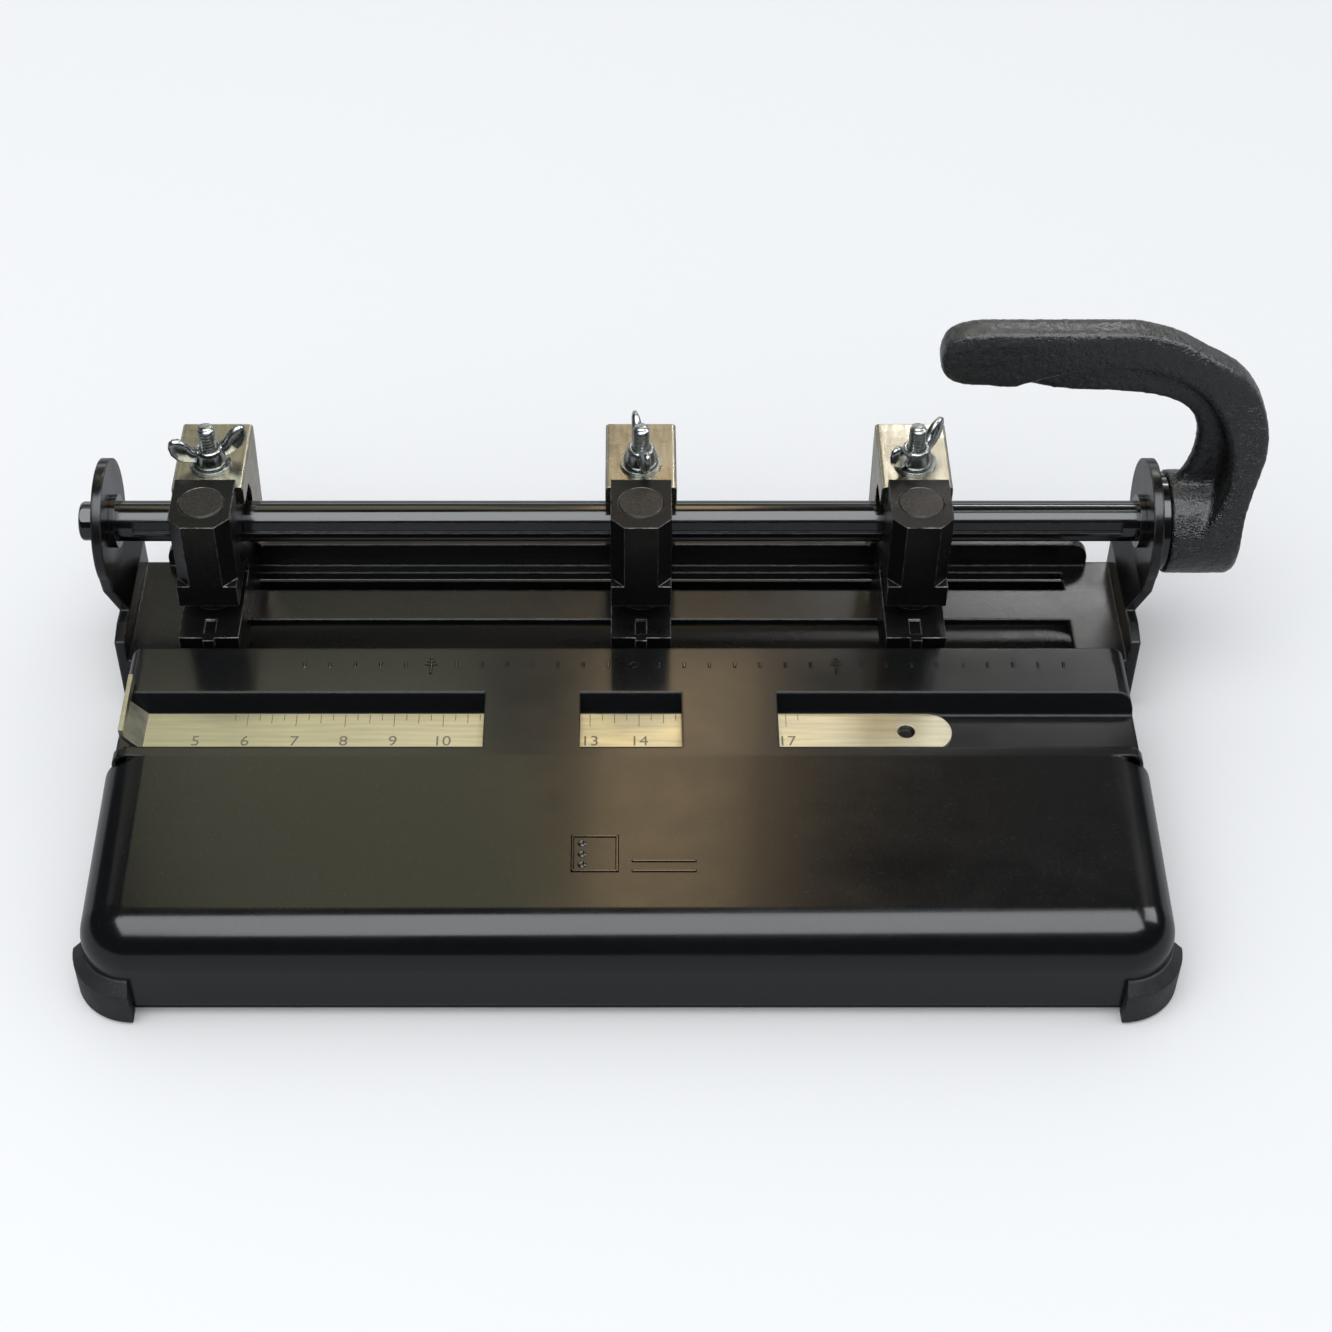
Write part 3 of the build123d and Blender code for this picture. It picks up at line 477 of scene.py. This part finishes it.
WING_TURNS = {"left": 20.0, "centre": 100.0, "right": 45.0}
for side in SIDES:
    low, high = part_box(side + "_clamp_stud")
    axis = Vector(((low.x + high.x) / 2, (low.y + high.y) / 2, 0))
    stud = add_piece(side + "_threaded_stud",
                     lambda bm: thread_stud(bm, axis, low.z / MM, high.z / MM),
                     bright_zinc, side + "_head")
    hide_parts(side + "_clamp_stud")
    nut_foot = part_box(side + "_wing_nut")[0].z / MM
    nut = add_piece(side + "_winged_nut",
                    lambda bm: wing_nut(bm, axis, WING_TURNS[side], nut_foot),
                    bright_zinc, side + "_nut")
    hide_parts(side + "_wing_nut")


# ---- cast lever ----

CASTING_RELIEF = 0.09       # height of the sand casting's pebbles
SKIN_SIZE = 0.7             # size of the even skin's cells
ROUNDING_PASSES = 45
HUB_TOP = 10.0              # above the shaft's axis: the machined hub stays crisp up to here
ARM_BLEND = 12.0            # and the arm is fully rounded this much higher
HUB_ROUNDING = 0.12
COARSE_PEBBLES = 0.7        # noise scales, in repeats a millimetre
FINE_PEBBLES = 1.6
FINE_SHARE = 0.8


def round_off(lever):
    """Round the arm and the grip more than the machined hub, and give them a finer skin."""
    group = lever.vertex_groups.new(name="above_hub")
    for vertex in lever.data.vertices:
        height = vertex.co.z / MM - SHAFT_Z
        weight = min(max((height - HUB_TOP) / ARM_BLEND, HUB_ROUNDING), 1.0)
        group.add([vertex.index], weight, "REPLACE")
    soften = lever.modifiers.new("soft_corners", "SMOOTH")
    soften.factor = 0.5
    soften.iterations = ROUNDING_PASSES
    soften.vertex_group = "above_hub"
    finer = lever.modifiers.new("finer_skin", "SUBSURF")
    finer.levels = 1
    finer.render_levels = 1
    baked(lever)


def pebble_skin(mesh):
    """Raise the skin's pebbles; every point stays inside the lever's own box."""
    low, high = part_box("lever_handle")
    places = [(vertex.co.copy(), vertex.normal.copy()) for vertex in mesh.vertices]
    pebbled = []
    for place_at, normal in places:
        point = place_at / MM
        pebble = (noise.noise(point * COARSE_PEBBLES)
                  + FINE_SHARE * noise.noise(point * FINE_PEBBLES))
        moved = place_at + normal * CASTING_RELIEF * pebble * MM
        pebbled.extend(min(max(moved[k], low[k]), high[k]) for k in range(3))
    mesh.vertices.foreach_set("co", pebbled)
    mesh.update()


def cast_lever():
    """The lever's form, well rounded as a sand casting and lightly pebbled."""
    lever = bpy.data.objects.new("cast_lever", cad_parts["lever_handle"].data.copy())
    bpy.context.scene.collection.objects.link(lever)
    remesh = lever.modifiers.new("even_skin", "REMESH")
    remesh.mode = "VOXEL"
    remesh.voxel_size = SKIN_SIZE * MM
    baked(lever)
    round_off(lever)
    pebble_skin(lever.data)
    for polygon in lever.data.polygons:
        polygon.use_smooth = True
    paint(lever, cast_paint)
    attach(lever, "lever")
    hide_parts("lever_handle")


cast_lever()


# ---- marks on the ruler and on the deck ----

UNIT = 12.7                 # one numbered step of the ruler
FIVE_X = -111.3             # where its number 5 stands
RULER_TOP = 28.0
TICK_REAR_Y = 6.1
TICK_HALF = 0.12            # half a tick's width
TICK_LENGTHS = {0: 4.4, 2: 3.2}     # of whole and half steps
SHORT_TICK = 2.2
NUMBER_Y = -4.9             # the numbers' foot
NUMBER_SIZE = 4.8
MARK_SUNK = 0.02
MARK_RAISED = 0.04


def bar(bm, x0, x1, y0, y1, z0, z1, slope=0.0):
    """A thin raised stroke with sloping sides; slope tilts it with the deck."""
    inset = min(x1 - x0, y1 - y0, 3 * (z1 - z0)) / 3
    verts = []
    for z, shrink in ((z0, 0.0), (z1, inset)):
        for x, y in ((x0 + shrink, y0 + shrink), (x1 - shrink, y0 + shrink),
                     (x1 - shrink, y1 - shrink), (x0 + shrink, y1 - shrink)):
            verts.append(bm.verts.new(at(x, y, z + slope * (y - y0))))
    low, high = verts[:4], verts[4:]
    bm.faces.new(low[::-1])
    bm.faces.new(high)
    for i in range(4):
        j = (i + 1) % 4
        bm.faces.new((low[i], low[j], high[j], high[i]))


def ruler_ticks(bm):
    for quarter in range(3, 50):
        x = FIVE_X + UNIT * quarter / 4
        length = TICK_LENGTHS.get(quarter % 4, SHORT_TICK)
        bar(bm, x - TICK_HALF, x + TICK_HALF, TICK_REAR_Y - length, TICK_REAR_Y,
            RULER_TOP - MARK_SUNK, RULER_TOP + MARK_RAISED)


add_piece("ruler_ticks", ruler_ticks, mark_ink, "ruler", smooth=False)


def number_mesh(text, x, y, z, size):
    """A number as a thin raised mesh."""
    curve = bpy.data.curves.new("number", "FONT")
    curve.body = text
    curve.size = size * MM
    curve.extrude = MARK_SUNK * MM
    curve.align_x = "CENTER"
    letter = bpy.data.objects.new("number", curve)
    bpy.context.scene.collection.objects.link(letter)
    letter.location = at(x, y, z)
    bpy.context.view_layer.update()
    mesh = bpy.data.meshes.new_from_object(letter)
    mesh.transform(letter.matrix_world)
    bpy.data.objects.remove(letter)
    return mesh


def ruler_numbers(bm):
    for number in range(5, 18):
        x = FIVE_X + UNIT * (number - 5)
        mesh = number_mesh(str(number), x, NUMBER_Y, RULER_TOP + MARK_SUNK / 2, NUMBER_SIZE)
        bm.from_mesh(mesh)
        bpy.data.meshes.remove(mesh)


add_piece("ruler_numbers", ruler_numbers, mark_ink, "ruler", smooth=False)


RELIEF = 0.28               # height of the deck's pressed marks
RING_RELIEF = 0.25


def ring(bm, x, y, z, radius, width):
    """A raised ring with sloping sides."""
    segments = 24
    profile = ((radius - width, 0), (radius - width * 0.6, RING_RELIEF),
               (radius - width * 0.4, RING_RELIEF), (radius, 0))
    loops = [[bm.verts.new(at(x, y, z + lift) + round_place(r, i / segments, 0))
              for i in range(segments)] for r, lift in profile]
    for one, two in zip(loops, loops[1:] + loops[:1]):
        join_loops(bm, one, two)


SCALE_Y = 20.2
SCALE_MIDDLE = 1.6          # the scale's zero, right of the cover's middle
SCALE_STEP = 6.65
SCALE_END = 8               # the step at which each arrow stands


def deck_mark(bm, x, y0, y1, half):
    """One pressed mark on the flat rear of the deck."""
    bar(bm, x - half, x + half, y0, y1, DECK_Z - MARK_SUNK, DECK_Z + RELIEF)


def deck_scale(bm):
    """Pressed setting marks along the rear of the deck: strokes, a ring and two arrows."""
    for step in range(-13, 18):
        if step not in (-SCALE_END, 0, SCALE_END):
            deck_mark(bm, SCALE_MIDDLE + SCALE_STEP * step, SCALE_Y - 1.1, SCALE_Y + 1.1, 0.45)
    ring(bm, SCALE_MIDDLE, SCALE_Y, DECK_Z, 1.3, 0.6)
    for end in (-SCALE_END, SCALE_END):
        x = SCALE_MIDDLE + SCALE_STEP * end
        deck_mark(bm, x, SCALE_Y - 3.4, SCALE_Y + 2.6, 0.4)
        for row in range(3):
            fall = row * 1.1
            deck_mark(bm, x, SCALE_Y + 2.0 - fall, SCALE_Y + 2.6 - fall, 0.6 + 0.5 * row)


add_piece("deck_scale", deck_scale, deck_relief, "base", smooth=False)

DECK_FALL = 4.0 / 57.5      # the front deck's slope
SLOPE_Y = -12.0             # where it starts
SIGN_RELIEF = 0.3
SIGN_STROKE = 0.9


def deck_height(y):
    return DECK_Z + DECK_FALL * (y - SLOPE_Y)


def deck_sign(bm):
    """A plain pressed sign: a sheet with three holes at its left edge, and two rules beside it."""
    front, rear = -48.5, -37.1
    left, right = -14.0, -2.1
    rule_left, rule_right = 1.0, 17.0

    def stroke(x0, x1, y0, y1):
        z = deck_height(y0)
        bar(bm, x0, x1, y0, y1, z - 0.03, z + SIGN_RELIEF, slope=DECK_FALL)

    for x in (left, right - SIGN_STROKE):
        stroke(x, x + SIGN_STROKE, front, rear)
    for y in (front, rear - SIGN_STROKE):
        stroke(left, right, y, y + SIGN_STROKE)
    for y in (front, front + 3.0):
        stroke(rule_left, rule_right, y, y + SIGN_STROKE)
    for y in (front + 2.5, front + 5.7, front + 8.9):
        ring(bm, left + 2.8, y, deck_height(y), 1.1, 0.8)


add_piece("deck_sign", deck_sign, deck_relief, "base", smooth=False)


# ======================= stage, lights and camera =======================

FLOOR_HALF = 4.0
FLOOR_SUNK = 0.0001         # keeps the floor just clear of the feet
FLOOR_COLOUR = (0.86, 0.87, 0.88, 1)
FLOOR_REFLECTED = (0.42, 0.43, 0.45, 1)
ROOM_COLOUR = (0.95, 0.965, 0.985, 1)
ROOM_REFLECTED = (0.03, 0.031, 0.034, 1)


def make_floor():
    """A plain pale floor, darker where the enamel reflects it."""
    corners = [(x * FLOOR_HALF, y * FLOOR_HALF, -FLOOR_SUNK)
               for x, y in ((-1, -1), (1, -1), (1, 1), (-1, 1))]
    mesh = bpy.data.meshes.new("studio_floor")
    mesh.from_pydata(corners, [], [(0, 1, 2, 3)])
    floor = bpy.data.objects.new("studio_floor", mesh)
    bpy.context.scene.collection.objects.link(floor)
    material = bpy.data.materials.new("studio_floor")
    material.use_nodes = True
    tree = material.node_tree
    shader = tree.nodes["Principled BSDF"]
    reflected = tree.nodes.new("ShaderNodeLightPath").outputs["Is Glossy Ray"]
    feed(tree, shader.inputs["Base Color"],
         blend_colours(tree, reflected, FLOOR_COLOUR, FLOOR_REFLECTED))
    shader.inputs["Roughness"].default_value = 0.9
    shader.inputs["Specular IOR Level"].default_value = 0.1
    mesh.materials.append(material)


def make_world():
    """A pale room, dark where the enamel and the plating reflect it."""
    bpy.context.scene.view_settings.view_transform = "Standard"
    world = bpy.data.worlds.new("studio")
    bpy.context.scene.world = world
    world.use_nodes = True
    tree = world.node_tree
    background = tree.nodes["Background"]
    reflected = tree.nodes.new("ShaderNodeLightPath").outputs["Is Glossy Ray"]
    feed(tree, background.inputs["Color"],
         blend_colours(tree, reflected, ROOM_COLOUR, ROOM_REFLECTED))
    background.inputs["Strength"].default_value = 0.8


def panel(name, place_at, aim, width, height, radiance, colour, diffuse=False):
    """A soft rectangular light; the ones for reflections only don't light matt surfaces."""
    light = bpy.data.lights.new(name, "AREA")
    light.shape = "RECTANGLE"
    light.size = width
    light.size_y = height
    light.energy = radiance * width * height * math.pi
    light.color = colour
    lamp = bpy.data.objects.new(name, light)
    bpy.context.scene.collection.objects.link(lamp)
    lamp.location = place_at
    lamp.rotation_euler = (Vector(aim) - Vector(place_at)).to_track_quat("-Z", "Y").to_euler()
    lamp.visible_diffuse = diffuse
    lamp.visible_glossy = not diffuse
    lamp.visible_camera = False


def make_lights():
    """Panels that shine in the enamel and the plating, and one that lights matt surfaces."""
    panel("top_strip", at(80, -270, 1000), at(0, -60, 30),
          1.2, 0.90, 5.0, (0.93, 0.97, 1.0))
    panel("warm_glow", at(30, 640, 930), at(0, -30, 30),
          0.11, 0.44, 4.2, (1.0, 0.72, 0.40))
    panel("olive_glow", at(-215, 640, 1000), at(-60, -30, 30),
          0.30, 0.5, 1.2, (0.90, 0.90, 0.58))
    panel("far_wall", at(0, 1400, 1000), at(0, 0, 60),
          3.2, 1.3, 0.30, (1.0, 0.98, 0.88))
    panel("lever_glint", at(390, 1062, 900), at(130, 60, 110),
          0.34, 0.09, 14.0, (1.0, 1.0, 1.0))
    panel("rail_light", at(0, 1400, 420), at(0, 0, 60),
          3.0, 0.25, 1.6, (0.95, 0.98, 1.0))
    panel("right_glint", at(900, 200, 700), at(150, 60, 90),
          0.5, 0.5, 5.0, (1.0, 1.0, 1.0))
    panel("soft_key", at(-300, -500, 1500), at(0, 0, 0),
          1.6, 1.6, 1.5, (1.0, 1.0, 1.0), diffuse=True)


CAMERA_TILT = 44.5          # degrees up from straight down
CAMERA_LENS = 67.57
SENSOR_WIDTH = 36.0


def make_camera():
    """A camera above and ahead of the punch, shifted a little to frame it."""
    camera_data = bpy.data.cameras.new("camera")
    camera_data.lens = CAMERA_LENS
    camera_data.sensor_width = SENSOR_WIDTH
    camera_data.shift_x = 0.0289
    camera_data.shift_y = 0.0015
    camera_data.clip_start = 0.01
    camera = bpy.data.objects.new("camera", camera_data)
    bpy.context.scene.collection.objects.link(camera)
    camera.location = at(0, -441.2, 500.4)
    camera.rotation_euler = (math.radians(CAMERA_TILT), 0, 0)
    bpy.context.scene.camera = camera


make_floor()
make_world()
make_lights()
make_camera()
